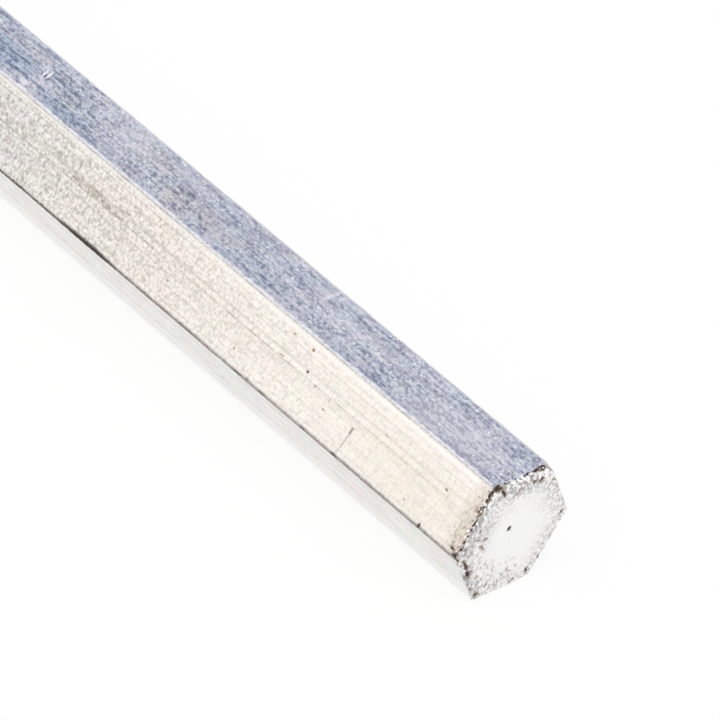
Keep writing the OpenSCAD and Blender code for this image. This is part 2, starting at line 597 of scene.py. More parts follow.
# %% Make the bar's mesh
mesh = bpy.data.meshes.new("hex_bar_stock")
inside_box = np.clip(np.array(points) * MM, np.array(low), np.array(high))
mesh.from_pydata(inside_box.tolist(), [], faces)
mesh.polygons.foreach_set("material_index", np.array(face_is_cut, dtype=np.int32))
mesh.polygons.foreach_set("use_smooth", np.ones(len(faces), dtype=bool))
bar = bpy.data.objects.new("hex_bar_stock", mesh)
bpy.context.scene.collection.objects.link(bar)
triangles = sum(len(face) - 2 for face in faces)
print(triangles, "triangles")

# %% [markdown]
# ## What the materials read from the mesh
# A node material can read numbers that the mesh carries, called attributes. The bar carries its two
# walking distances on face corners, so that the walk can start again at its first corner without a
# smear. Its points carry how dark they are with dirt and with painted shade in the crack and hollows,
# how grey and how crumbly they are. The last attribute is a mix of finishes, which differ from flat to
# flat: scuffed where other bars slid over it, grainy from the die, or nearly clean. The flats that the
# photograph doesn't show get plain mixes of the same three.

# %% Store the attributes
corner_places = np.array(corner_places)
surface = mesh.attributes.new("surface", "FLOAT_VECTOR", "CORNER")
surface_values = np.column_stack([corner_places, np.zeros(len(corner_places))])
surface.data.foreach_set("vector", surface_values.astype(np.float32).ravel())

for number, name in enumerate(("dirt_and_shade", "shade", "crumb")):
    values = np.array(dirt_and_shade, dtype=np.float32)[:, number].copy()
    mesh.attributes.new(name, "FLOAT", "POINT").data.foreach_set("value", values)

# Shares of scuffed, grainy and clean on each flat
FINISH_OF_SIDE = np.zeros((SIDES, 3))
FINISH_OF_SIDE[BOTTOM] = (0.7, 0.3, 0)
FINISH_OF_SIDE[LOWER_FRONT] = (0, 0, 1)
FINISH_OF_SIDE[FRONT] = (0, 1, 0)
# The scuffed finish also carries the upper flat's painted blue-grey reflection
FINISH_OF_SIDE[TOP] = (1, 0, 0)
FINISH_OF_SIDE[BACK] = (0.25, 0.75, 0)
FINISH_OF_SIDE[LOWER_BACK] = (0.3, 0, 0.7)


def finish_at(around):
    """The mix of finishes at these distances round the section, blended over each rounding."""
    side = np.floor(around / side_pitch).astype(int) % SIDES
    across = around - (np.floor(around / side_pitch) + 0.5) * side_pitch
    next_side = (side + np.sign(across).astype(int)) % SIDES
    share = 0.5 * np.clip((np.abs(across) - flat_width / 2) / half_rounding, 0, 1)[:, None]
    return FINISH_OF_SIDE[side] * (1 - share) + FINISH_OF_SIDE[next_side] * share


finish = mesh.attributes.new("finish", "FLOAT_VECTOR", "CORNER")
finish_values = finish_at(corner_places[:, 1] % girth)
finish.data.foreach_set("vector", finish_values.astype(np.float32).ravel())
print("attributes:", [a.name for a in mesh.attributes if not a.name.startswith(".")])

# %% [markdown]
# ## A flat map of the bar
# Other programs can't run node materials, so for them the looks have to be painted into pictures, and
# a map says which part of a picture each face gets. Blender can unwrap a mesh by itself, but it would
# cut this long bar into many scraps. Here the skin is unrolled instead: each flat is cut into three
# strips that lie under each other, and the two cut ends lie at the side, drawn larger because their
# detail is finer.

# %% Lay the bar out flat
STRIPS = 3
MAP_SCALE = 0.0074
MAP_GAP = 0.004
MAP_MARGIN = 0.01
CUT_MAP_SCALE = 0.0165
CUT_MAP_U = 0.88
FRONT_CUT_V = 0.12
HIDDEN_CUT_V = 0.36

corner_count = np.array([len(face) for face in faces])
face_of_corner = np.repeat(np.arange(len(faces)), corner_count)
face_along, face_around = (
    np.bincount(face_of_corner, corner_places[:, axis]) / corner_count for axis in range(2))
strip_length = 2 * (half_length + EDGE_BACK) / STRIPS
strip_number = np.floor(face_along / strip_length + STRIPS / 2)
strip_number = np.clip(strip_number, 0, STRIPS - 1)[face_of_corner]
side_number = np.floor(face_around / side_pitch)[face_of_corner]
along_strip = corner_places[:, 0] - (strip_number - STRIPS / 2) * strip_length
over_strip = corner_places[:, 1] - side_number * side_pitch
row = side_number * STRIPS + strip_number
map_u = MAP_MARGIN + along_strip * MAP_SCALE
map_v = MAP_GAP + row * (side_pitch * MAP_SCALE + MAP_GAP) + over_strip * MAP_SCALE

corner_points = np.array(points)[np.concatenate(faces)]
on_cut = np.array(face_is_cut)[face_of_corner]
cut_v = np.where(corner_points[:, 0] > 0, FRONT_CUT_V, HIDDEN_CUT_V)
cut_v = cut_v + (corner_points[:, 2] - across_flats / 2) * CUT_MAP_SCALE
map_u = np.where(on_cut, CUT_MAP_U + corner_points[:, 1] * CUT_MAP_SCALE, map_u)
map_v = np.where(on_cut, cut_v, map_v)
flat_map = mesh.uv_layers.new(name="OFBake")
flat_map.data.foreach_set("uv", np.column_stack([map_u, map_v]).astype(np.float32).ravel())
print(f"map from {map_u.min():.3f}, {map_v.min():.3f} to {map_u.max():.3f}, {map_v.max():.3f}")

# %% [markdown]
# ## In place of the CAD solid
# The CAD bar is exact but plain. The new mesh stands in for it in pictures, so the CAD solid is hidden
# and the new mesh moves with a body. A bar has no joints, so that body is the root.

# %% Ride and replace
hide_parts("hex_bar")
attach(bar, "root")
print("the bar rides on root in place of the CAD solid")

# %% [markdown]
# ## Small helpers for node materials
# A material is a graph of nodes. It could be drawn by hand in the shader editor, but a script can be
# read and run again. Building each node takes three or four lines of code, so helpers do the repeating
# part: start a material, add a node to it, and do a sum with what other nodes give.

# %% Helpers for nodes
def new_material(name):
    """A material with its node tree and its Principled shader."""
    material = bpy.data.materials.new(name)
    material.use_nodes = True
    return material, material.node_tree, material.node_tree.nodes["Principled BSDF"]


def add(tree, kind, inputs=None, **options):
    """Adds a shader node. An input may be a plain value or another node's output."""
    node = tree.nodes.new("ShaderNode" + kind)
    for option, value in options.items():
        setattr(node, option, value)
    for name, value in (inputs or {}).items():
        if isinstance(value, bpy.types.NodeSocket):
            tree.links.new(value, node.inputs[name])
        else:
            node.inputs[name].default_value = value
    return node


def calc(tree, operation, *values):
    """The result of a sum on numbers or outputs, such as ADD or SUBTRACT."""
    return add(tree, "Math", dict(enumerate(values)), operation=operation).outputs[0]


def times(tree, first, second):
    """The product of two numbers or outputs."""
    return calc(tree, "MULTIPLY", first, second)


def scaled(tree, value, factor, plus):
    """A value times a factor, plus a number or another output."""
    return calc(tree, "MULTIPLY_ADD", value, factor, plus)


print("helpers for nodes:", [helper.__name__ for helper in (new_material, add, calc, times, scaled)])

# %% [markdown]
# ## Where a point is
# A finish has to know where on the bar it is. Map coordinates would make marks larger on one part
# than on another, so a material reads the place in space, in mm, and the numbers that the mesh
# carries. A mark of half a millimetre is then that size on every flat and on both ends.

# %% Helpers for places
def stretch(tree, place, scale, turn=0.0):
    """The place in mm, scaled along x, y and z after a turn about z in degrees."""
    if turn:
        spin = (0, 0, math.radians(turn))
        place = add(tree, "Mapping", {"Vector": place, "Rotation": spin}).outputs[0]
    return add(tree, "Mapping", {"Vector": place, "Scale": scale}).outputs[0]


def place_in_mm(tree):
    """The place of a point in space, in mm."""
    return stretch(tree, add(tree, "TexCoord").outputs["Object"], (1 / MM, 1 / MM, 1 / MM))


def stored(tree, name):
    """A number that the mesh carries on its points."""
    return add(tree, "Attribute", attribute_name=name).outputs["Fac"]


def stored_pair(tree, name):
    """The first two of the numbers that the mesh carries on its face corners."""
    read = add(tree, "Attribute", attribute_name=name)
    parts = add(tree, "SeparateXYZ", {0: read.outputs["Vector"]})
    return parts.outputs["X"], parts.outputs["Y"]


print("helpers for places:", [helper.__name__ for helper in (stretch, place_in_mm, stored, stored_pair)])

# %% [markdown]
# ## The drawn skin
# Aluminium is a pale grey mirror, blurred by fine relief. The scuffed flat shows dark and pale
# streaks along the bar with cloudy patches over them, the grainy flat a fine leathery grain that
# fades towards the cut, and every flat has long lines from the die. Painting a picture would give one
# bar at one size. Nodes that read the bar's own distances give the same detail at any zoom, and
# colour, roughness and bump can all follow the same patterns, so that they agree under any light.

# %% Read the coordinates in the skin material
skin, tree, shader = new_material("drawn_aluminium_skin")
place = place_in_mm(tree)
along, around = stored_pair(tree, "surface")
scuffed, grainy = stored_pair(tree, "finish")
to_corner = calc(tree, "PINGPONG", around, side_pitch / 2)
from_cut = calc(tree, "SUBTRACT", half_length, calc(tree, "ABSOLUTE", along))
from_front = calc(tree, "SUBTRACT", half_length, along)
print(len(tree.nodes), "nodes read where a point of the skin is")

# %% [markdown]
# ## Noise and masks
# Nothing on this bar repeats, so its patterns come from noise. A picture of metal could be laid over it
# instead, but its tiles would show on a bar this long. A mask turns noise or a distance into a share
# from 0 to 1 with a smooth step, and the share says how much of a finish shows.

# %% Helpers for patterns
def noise_at(tree, place, scale, detail=2.0, roughness=0.5):
    """Noise from 0 to 1 at a place in mm, with scale lumps to the mm."""
    inputs = {"Vector": place, "Scale": scale, "Detail": detail, "Roughness": roughness}
    return add(tree, "TexNoise", inputs).outputs["Fac"]


def mask(tree, value, start, end):
    """0 at start and 1 at end, with a smooth step between them. Start may lie above end."""
    inputs = {"Value": value, "From Min": start, "From Max": end}
    return add(tree, "MapRange", inputs, interpolation_type="SMOOTHSTEP").outputs["Result"]


print("helpers for patterns:", [helper.__name__ for helper in (noise_at, mask)])

# %% [markdown]
# ## Patterns of the skin
# Pulling a bar through a die draws every mark out lengthways. The same noise gives all of them,
# squeezed along the bar by a small number: die lines almost without end, long and short streaks,
# dashes. A wave texture would also give lines, but evenly spaced ones. Grit and grain are hardly drawn
# out. The grain is lumps of noise and smooth cells together, as in fine leather.

# %% Streaks, clouds and grain
# Distances from a cut in mm, at which the grain and the far end start and are full
GRAIN_GROWS = (8.0, 71.0)
FAR_END = (46.0, 66.0)


def drawn_noise(draw, lumps, detail=2.0, roughness=0.5, turn=0.0):
    """Noise that is drawn out along the bar where draw is below 1, with this many lumps to the mm."""
    return noise_at(tree, stretch(tree, place, (draw, 1, 1), turn), lumps, detail, roughness)


die_lines = drawn_noise(0.004, 2.6, 3.0, 0.7)
die_bands = drawn_noise(0.003, 0.55)
long_streak = drawn_noise(0.06, 3.5, 3.0, 0.6)
short_streak = drawn_noise(0.16, 3.2, 3.0, 0.6)
leaning_streak = drawn_noise(0.16, 3.5, 3.0, 0.6, turn=8)
dashes = drawn_noise(0.13, 3.0, 1.0)
grit = drawn_noise(0.65, 2.6, 3.0, 0.75, turn=38)
clouds = drawn_noise(0.6, 0.45, 3.0, 0.55)
hue_clouds = drawn_noise(0.7, 0.5)
tarnish_clouds = drawn_noise(0.8, 0.9)
grain_lumps = drawn_noise(1.15, 2.7, 3.0, 0.7)
specks = noise_at(tree, place, 2.9, 1.0)
cross_scratches = noise_at(tree, stretch(tree, place, (2.4, 0.3, 0.6), turn=20), 1.1, 2.0, 0.6)
cell_inputs = {"Vector": stretch(tree, place, (1.2, 1, 1)), "Scale": 2.8, "Smoothness": 0.5}
grain_cells = add(tree, "TexVoronoi", cell_inputs, feature="SMOOTH_F1").outputs["Distance"]
grain_reach = mask(tree, from_cut, *GRAIN_GROWS)
far_end = mask(tree, from_front, *FAR_END)
print(len(tree.nodes), "nodes so far, most of them for patterns")

# %% [markdown]
# ## From pattern to tone
# A pattern is only a number at each point. To become paint it is summed with others and then looked up
# in a row of colours, or it says how to mix two colours. Blender has nodes for all of this, and these
# helpers set their sockets, so that a tone takes one line below.

# %% Helpers for tones
def blend(tree, *patterns):
    """A weighted sum of (pattern, weight) pairs that swings about 0.5, as each of the patterns does."""
    total = 0.5 - 0.5 * sum(weight for _, weight in patterns)
    for pattern, weight in patterns:
        total = scaled(tree, pattern, weight, total)
    return total


def swing_by(tree, mix, pattern, share):
    """A mix plus a share of how far a pattern swings from 0.5."""
    return scaled(tree, calc(tree, "SUBTRACT", pattern, 0.5), share, mix)


def tint(tree, amount, first, second, blend_type="MIX"):
    """A colour between first and second."""
    node = add(tree, "Mix", {0: amount, 6: first, 7: second}, data_type="RGBA", blend_type=blend_type)
    return node.outputs[2]


def ramp(tree, value, *stops):
    """A colour from a row of (position, colour) stops."""
    node = add(tree, "ValToRGB", {"Fac": value})
    elements = node.color_ramp.elements
    while len(elements) < len(stops):
        elements.new(0.5)
    for element, (position, colour) in zip(elements, stops):
        element.position = position
        element.color = (*colour, 1)
    return node.outputs["Color"]


print("helpers for tones:", [helper.__name__ for helper in (blend, swing_by, tint, ramp)])

# %% [markdown]
# ## Scuffs
# Other bars slid over the upper flat and left it streaked and spotted. One noise looks like marble, so
# four are summed. The streaks also differ from place to place: straight near the cut, then leaning,
# mostly away from the ridge, and longest towards the far end. Beside the ridge the contrast is
# stronger. Each of these is added only where its mask says so.

# %% Pattern of the scuffed finish
# Distances from a cut in mm, at which streaks start or stop and at which they are full
STREAKY_END = (54.0, 70.0)
STRAIGHT_STREAKS = (26.0, 18.0)
LEANING_FROM = (18.0, 26.0)
LEANING_UNTIL = (52.0, 44.0)

scuff_mix = blend(tree, (grit, 2.9), (short_streak, 1.3), (long_streak, 0.9), (clouds, 0.8))
by_ridge = mask(tree, around, (TOP + 0.7) * side_pitch, (TOP + 0.3) * side_pitch)
far_streaks = blend(tree, (short_streak, 0.8), (long_streak, 1.0))
scuff_mix = swing_by(tree, scuff_mix, far_streaks, mask(tree, from_front, *STREAKY_END))
straight = blend(tree, (short_streak, 0.45), (grit, -0.25))
scuff_mix = swing_by(tree, scuff_mix, straight, mask(tree, from_cut, *STRAIGHT_STREAKS))
leaning = blend(tree, (leaning_streak, 1.3), (grit, -1.0))
leaning_reach = times(tree, mask(tree, from_cut, *LEANING_FROM), mask(tree, from_cut, *LEANING_UNTIL))
leaning_reach = times(tree, leaning_reach, scaled(tree, by_ridge, -0.6, 1.0))
scuff_mix = swing_by(tree, scuff_mix, leaning, leaning_reach)
scuff_mix = swing_by(tree, 0.5, scuff_mix, scaled(tree, by_ridge, 0.4, 0.98))
print(len(tree.nodes), "nodes so far, with the scuffs")

# %% [markdown]
# ## The scuffed finish
# The upper flat has pale and dark scuffs. Its blue-grey, darker than bare aluminium, is a painted
# reflection of the dim, cool side of the tent. A row of four colours turns the sum of scuffs into
# tones, so that dark scuffs are bluer than pale ones. Dark dashes, pale strokes across the bar and
# bright specks then go over it. A single grey would look like paint.

# %% Tone of the scuffed finish
SCUFF_AND_REFLECTION_TONES = ((0.0, (0.29, 0.31, 0.40)), (0.3, (0.53, 0.555, 0.64)),
               (0.62, (0.76, 0.77, 0.82)), (1.0, (0.97, 0.965, 0.975)))
DASH_BLUE = (0.26, 0.265, 0.36, 1)
STROKE_PALE = (0.90, 0.885, 0.90, 1)
SPECK_WHITE = (0.90, 0.93, 1.0, 1)
SCUFF_COOL = (0.97, 1.0, 1.015, 1)
SCUFF_WARM = (1.035, 0.995, 0.985, 1)

# Real scuffs in tones that are blue-grey and darker than bare aluminium: the blue-grey is a painted
# reflection of the dim, cool side of the tent
scuff_and_reflection_colour = ramp(tree, scuff_mix, *SCUFF_AND_REFLECTION_TONES)
dash_amount = scaled(tree, by_ridge, 0.2, scaled(tree, far_end, 0.5, 0.3))
dark_dashes = times(tree, mask(tree, dashes, 0.34, 0.22), dash_amount)
scuff_and_reflection_colour = tint(tree, dark_dashes, scuff_and_reflection_colour, DASH_BLUE)
pale_strokes = times(tree, mask(tree, cross_scratches, 0.6, 0.72), mask(tree, clouds, 0.42, 0.6))
scuff_and_reflection_colour = tint(tree, times(tree, pale_strokes, 0.5), scuff_and_reflection_colour, STROKE_PALE)
scuff_hue = tint(tree, mask(tree, hue_clouds, 0.35, 0.65), SCUFF_COOL, SCUFF_WARM)
scuff_and_reflection_colour = tint(tree, 1.0, scuff_and_reflection_colour, scuff_hue, "MULTIPLY")
white_specks = times(tree, mask(tree, specks, 0.63, 0.72), scuffed)
scuff_and_reflection_colour = tint(tree, white_specks, scuff_and_reflection_colour, SPECK_WHITE)
print("scuffed finish mixed from", len(SCUFF_AND_REFLECTION_TONES), "tones")

# %% [markdown]
# ## The grainy and the clean finish
# The front flat kept its grain from the die: dark hollows between pale lumps, strong far from the cut
# and rubbed off near it. The lower flat is almost clean, with faint bands. Both have a very light
# mottle of hue, because bare aluminium never weathers evenly. Three materials would meet in hard lines
# at the corners, so the finishes are mixed in one, by the shares that the mesh carries. A faint green
# and lilac tarnish lies over all of them.

# %% Tone of the grainy and the clean finish
NEAR_GRAIN = (0.975, 0.97, 0.965, 1)
FAR_GRAIN = (0.915, 0.915, 0.915, 1)
GRAIN_HOLLOW = (0.35, 0.34, 0.33, 1)
MOTTLE_GREEN, MOTTLE_PINK = (0.975, 0.981, 0.952, 1), (0.992, 0.973, 0.953, 1)
FAR_HUE = (0.97, 0.994, 1.03, 1)
CLEAN_PALE, CLEAN_GREY = (0.945, 0.93, 0.912, 1), (0.80, 0.78, 0.77, 1)
CLEAN_GREEN, CLEAN_PINK = (0.955, 0.985, 0.985, 1), (1.0, 0.965, 0.955, 1)
LOW_EDGE_REFLECTION = (0.985, 0.985, 0.985, 1)
TARNISH_GREEN, TARNISH_LILAC = (0.992, 1.018, 0.99, 1), (1.008, 0.982, 1.01, 1)

grain_mix = scaled(tree, grain_cells, 0.35, scaled(tree, grain_lumps, -1.25, 0.98))
grain_amount = scaled(tree, grain_reach, 0.66, 0.24)
grain_tone = times(tree, mask(tree, grain_mix, 0.33, 0.85), grain_amount)
grain_colour = tint(tree, grain_tone, tint(tree, grain_reach, NEAR_GRAIN, FAR_GRAIN), GRAIN_HOLLOW)
mottle = tint(tree, mask(tree, hue_clouds, 0.36, 0.64), MOTTLE_GREEN, MOTTLE_PINK)
grain_colour = tint(tree, 1.0, grain_colour, mottle, "MULTIPLY")
grain_colour = tint(tree, far_end, grain_colour, FAR_HUE, "MULTIPLY")

clean_mix = blend(tree, (die_bands, 1.0), (long_streak, 1.0), (short_streak, 0.8), (grit, 1.0))
clean_colour = tint(tree, mask(tree, clean_mix, 0.7, 0.3), CLEAN_PALE, CLEAN_GREY)
clean_hue = tint(tree, mask(tree, hue_clouds, 0.38, 0.62), CLEAN_GREEN, CLEAN_PINK)
clean_colour = tint(tree, 1.0, clean_colour, clean_hue, "MULTIPLY")
# The lower flat is painted paler towards its lower corner: a painted reflection of the white floor
low_edge_reflection = mask(tree, around, (LOWER_FRONT + 0.4) * side_pitch, (LOWER_FRONT + 0.05) * side_pitch)
clean_colour = tint(tree, times(tree, low_edge_reflection, 0.8), clean_colour, LOW_EDGE_REFLECTION)

colour = tint(tree, grainy, tint(tree, scuffed, clean_colour, scuff_and_reflection_colour), grain_colour)
tarnish = tint(tree, mask(tree, tarnish_clouds, 0.36, 0.64), TARNISH_GREEN, TARNISH_LILAC)
colour = tint(tree, scaled(tree, grainy, -0.3, 1.0), colour, tarnish, "MULTIPLY")
print(len(tree.nodes), "nodes so far, with all three finishes")

# %% [markdown]
# ## Marks of this one bar
# Some marks belong to this bar alone: six die lines on the grainy flat, a dark seam of dirt along its
# lower corner, a smudge, a scratch and a handful of pits. Stencils painted on a texture could hold
# them, but here each is placed by its distance along and round the bar. A mark is a mask of its own
# shape, frayed by noise so that no edge is clean.

# %% Helpers for marks
FULL_SHARE = 0.3
EDGE_FRAY = 1.2
PLAIN_SOFT = 0.65
fray = noise_at(tree, place, 3.2, 2.0)


def near(value, centre, width):
    """A mask of the values that lie within width of centre, full in the middle share of it."""
    away = calc(tree, "ABSOLUTE", calc(tree, "SUBTRACT", value, centre))
    return mask(tree, away, width, width * FULL_SHARE)


def spot(x, across, side, length, width, lean=0.0, soft=PLAIN_SOFT):
    """A mask of a frayed oval mark on a flat, at x along the bar and across from the flat's middle."""
    dx = calc(tree, "SUBTRACT", along, x)
    dy = calc(tree, "SUBTRACT", around, (side + 0.5) * side_pitch + across)
    dx = scaled(tree, dy, -lean, dx)
    squares = calc(tree, "ADD",
                   calc(tree, "POWER", calc(tree, "DIVIDE", dx, length), 2.0),
                   calc(tree, "POWER", calc(tree, "DIVIDE", dy, width), 2.0))
    frayed = scaled(tree, fray, EDGE_FRAY, calc(tree, "SUBTRACT", squares, EDGE_FRAY / 2))
    return mask(tree, frayed, 1.0, 1.0 - soft)


def strongest(masks):
    """The strongest of several masks at each place."""
    total = masks[0]
    for one in masks[1:]:
        total = calc(tree, "MAXIMUM", total, one)
    return total


def marks(side, places, soft=PLAIN_SOFT):
    """One mask of many spots on a flat, each given as x, across, length, width, lean and strength."""
    spots = []
    for x, across, length, width, lean, strength in places:
        spots.append(times(tree, spot(x, across, side, length, width, lean, soft), strength))
    return strongest(spots)


print(f"marks can lie up to {half_length:.0f} mm from the middle and {girth:.1f} mm round")

# %% [markdown]
# ## Die lines
# A nick in the die scores a line along the whole bar. On the front flat six of them can be told apart,
# so they are placed one by one, then broken up by noise, because handling wears a line away in
# places. Near the cut they are fainter. The other lines come from the endless noise made above, and
# short dashes lie between them.

# %% Die lines
# Distances from a cut in mm, at which the lines are faintest and are full
LINES_RETURN = (10.0, 22.0)
# Lines of the front flat: distance across it, half width and strength
FRONT_LINES = ((0.2, 0.13, 1.6), (-1.65, 0.12, 0.8), (0.9, 0.1, 0.5),
               (-2.85, 0.12, 0.8), (1.98, 0.1, 0.4), (-0.9, 0.1, 0.3))
front_lines = strongest([
    times(tree, near(around, (FRONT + 0.5) * side_pitch + across, width), strength)
    for across, width, strength in FRONT_LINES
])
broken = scaled(tree, mask(tree, short_streak, 0.35, 0.6), 0.6, 0.4)
beaded = scaled(tree, mask(tree, fray, 0.4, 0.6), 0.7, 0.4)
front_lines = times(tree, times(tree, front_lines, broken), beaded)
front_lines = times(tree, front_lines, scaled(tree, grain_reach, 0.5, 1.0))
front_lines = times(tree, front_lines, scaled(tree, mask(tree, from_cut, *LINES_RETURN), 0.35, 0.65))
line_amount = scaled(tree, grainy, scaled(tree, grain_reach, 0.7, 0.2), 0.5)
other_lines = times(tree, mask(tree, die_lines, 0.54, 0.30), line_amount)
front_dashes = times(tree, times(tree, mask(tree, dashes, 0.44, 0.26), grainy), 0.5)
lines = strongest([front_lines, other_lines, front_dashes])
print(len(FRONT_LINES), "lines placed on the front flat")

# %% [markdown]
# ## The dark seam
# Along the lower corner of the front flat runs a soft brown band with a dark core, darker away from
# the cut, and it wanders a little. It is partly dirt and old oil that gathered there, which nothing
# wiped straight, and partly a painted dark reflection in the rounding of that corner. A faint grey
# line runs below it, and the other corners hold a little dirt too. A curve with a bevel would stand
# out from the metal, so all of it is painted, with blots where it is darkest.

# %% The dark seam
# Distances from the front cut in mm, at which the seam starts to darken and is darkest
SEAM_DARKENS = (25.0, 65.0)
SEAM_DROP = 0.35
SEAM_CLIMB = 0.06
SEAM_WANDER = 0.4
SEAM_WIDTH = 0.44
CORE_WIDTH = 0.17
UNDER_LINE_DROP = 1.25
UNDER_LINE_WIDTH = 0.5

seam_away = mask(tree, from_front, *SEAM_DARKENS)
seam_middle = scaled(tree, seam_away, SEAM_CLIMB, SEAM - SEAM_DROP)
seam_wander = scaled(tree, fray, SEAM_WANDER, seam_middle)
# The band and its core: partly dirt, partly a painted dark reflection in the corner's rounding
seam_soft = near(around, seam_wander, SEAM_WIDTH)
seam_holes = mask(tree, scaled(tree, seam_away, 0.3, grit), 0.32, 0.54)
seam_core = times(tree, near(around, seam_wander, CORE_WIDTH), seam_holes)
seam_core = times(tree, seam_core, scaled(tree, seam_away, 0.42, 0.36))
under_line = near(around, SEAM - UNDER_LINE_DROP, UNDER_LINE_WIDTH)

# Places where the seam is darkest, partly dirt and partly painted dark reflection, with edges softer
# than those of pits
IN_SEAM = -side_pitch / 2 - 0.1
VERY_SOFT = 0.95
seam_blots = marks(FRONT, (
    (99.7, IN_SEAM, 5.0, 0.5, 0, 1.0), (120.8, IN_SEAM, 0.8, 0.22, 0, 0.6),
    (122.2, IN_SEAM + 0.2, 0.35, 0.2, 0, 0.5), (124.2, IN_SEAM, 0.7, 0.24, 0, 0.55),
    (129.8, IN_SEAM, 0.5, 0.26, 0, 0.55), (133.95, IN_SEAM, 0.5, 0.3, 0, 0.75),
), VERY_SOFT)
other_seams = times(tree, mask(tree, to_corner, 0.14, 0.02), mask(tree, clouds, 0.5, 0.72))
print("the seam lies", round(SEAM, 2), "mm round the section")

# %% [markdown]
# ## Pits and scratches of the front flat
# The front flat has a few dark pits, some brown spots, one scratch across it and a long grey smudge.
# A brush could paint them, but a list of places can be read and changed. A row gives how far along the
# bar and how far across the flat a mark lies, its half length, half width and lean, and its strength.

# %% Pits and scratches of the front flat
front_pits = marks(FRONT, (
    (127.15, 0.72, 0.2, 0.16, 0, 1.0), (130.65, 0.05, 0.12, 0.2, 0, 0.35),
    (137.65, 0.97, 0.36, 0.08, 0, 0.35), (122.95, 2.2, 0.15, 0.18, 0, 0.35),
    (128.6, 0.18, 0.2, 0.12, 0, 0.5), (123.9, 0.36, 0.38, 0.08, 0, 0.7),
    (145.75, 0.7, 0.26, 0.14, 0, 0.7), (102.0, 1.12, 0.34, 0.09, -1.2, 0.7),
    (101.4, 0.28, 0.4, 0.1, -0.8, 0.45), (94.8, 0.5, 0.35, 0.1, 0, 0.4),
    (94.6, 0.95, 0.25, 0.12, 0, 0.45), (98.9, 0.5, 0.3, 0.12, 0, 0.4),
    (145.28, -3.35, 0.2, 0.42, 0.3, 1.0), (109.4, -1.2, 0.2, 0.14, 0, 0.55),
    (142.65, -2.4, 0.13, 0.18, 0, 0.4),
))
brown_spots = marks(FRONT, (
    (126.45, 2.55, 0.21, 0.17, 0, 0.9), (123.9, 2.6, 0.16, 0.19, 0, 0.6),
    (130.65, -0.98, 0.22, 0.14, 0, 0.6), (119.3, -1.95, 0.16, 0.18, 0, 0.6),
))
scratch = marks(FRONT, (
    (134.28, -0.8, 0.17, 0.42, 0, 0.9), (134.25, -1.6, 0.11, 0.7, 0.02, 0.45),
    (134.22, -2.3, 0.13, 0.4, 0.05, 0.55), (134.17, -2.9, 0.1, 0.4, 0.1, 0.4),
))
smudge = marks(FRONT, (
    (95.5, 0.65, 1.1, 0.55, 0, 0.9), (97.8, 0.6, 2.1, 0.45, 0, 0.9), (100.3, 0.42, 1.9, 0.36, 0, 1.0),
), VERY_SOFT)
smudge = times(tree, smudge, mask(tree, grain_lumps, 0.72, 0.42))
print(len(tree.nodes), "nodes so far, with the marks of the front flat")

# %% [markdown]
# ## Nicks and rubs of the upper flat
# The upper flat has two white nicks side by side, a pale stroke across it nearer the cut, and wide
# patches that were rubbed paler, duller, bluer or warmer. A rub has no outline, so the patches have
# very soft edges. Fine hairlines cross the flats near the cut, from the swarf of the saw. They are too
# many to place one by one, so they are noise, drawn out across the bar.

# %% Nicks and rubs of the upper flat
# Distances from a cut in mm, at which the hairlines start and are full
HAIRLINES = (16.0, 3.0)

white_nicks = marks(TOP, (
    (83.55, 0.35, 0.13, 0.85, -0.35, 1.0), (84.0, 0.45, 0.13, 0.9, -0.33, 1.0),
    (83.7, -2.3, 0.6, 0.45, -0.8, 0.6), (84.3, -3.0, 0.8, 0.25, 0, 0.7),
    (121.85, 2.0, 0.19, 1.7, -0.04, 0.42),
))
pale_rubs = marks(TOP, (
    (96.5, 1.2, 4.5, 3.0, 0, 0.9), (96.0, -2.0, 2.6, 2.4, 0, 1.0), (102.0, 2.0, 3.5, 2.0, 0, 0.5),
    (121.2, 0.8, 1.3, 3.0, 0, 0.4), (125.0, 0.2, 4.0, 1.4, 0, 0.5), (132.0, 0.2, 4.0, 1.4, 0, 0.5),
    (141.5, -1.0, 8.5, 3.4, 0, 1.1), (79.5, 2.6, 3.5, 1.2, 0, 0.3), (134.5, -1.0, 0.2, 1.8, 0, 0.8),
    (128.0, -1.9, 3.0, 1.2, 0, 0.7),
), VERY_SOFT)
dull_rubs = marks(TOP, (
    (108.2, -0.4, 6.5, 2.4, 0, 0.6), (112.8, 1.7, 2.6, 1.0, 0, 0.35), (119.4, -1.7, 2.6, 1.3, 0, 0.65),
    (130.5, 1.7, 3.0, 0.9, 0, 0.8), (121.5, 1.6, 2.2, 0.8, 0, 0.35),
), VERY_SOFT)
warm_rubs = marks(TOP, ((105.5, -1.2, 7.0, 2.4, 0, 1.0), (99.0, 1.0, 4.0, 2.5, 0, 0.6)), VERY_SOFT)
blue_rubs = marks(TOP, (
    (79.5, -0.8, 5.5, 2.2, 0, 1.0), (89.0, -2.2, 4.5, 1.6, 0, 0.7), (86.0, 0.3, 6.0, 1.2, 0, 0.3),
    (116.0, -1.8, 4.0, 1.5, 0, 0.4), (131.0, -2.6, 6.0, 1.0, 0, 0.3), (122.3, 2.5, 0.28, 1.3, 0, 0.5),
), VERY_SOFT)
hairlines = noise_at(tree, stretch(tree, place, (1, 0.07, 0.07)), 3.6, 2.0, 0.6)
hairlines = times(tree, mask(tree, hairlines, 0.4, 0.28), mask(tree, from_cut, *HAIRLINES))
hairlines = times(tree, hairlines, mask(tree, clouds, 0.42, 0.56))
print(len(tree.nodes), "nodes so far, with the marks of the upper flat")

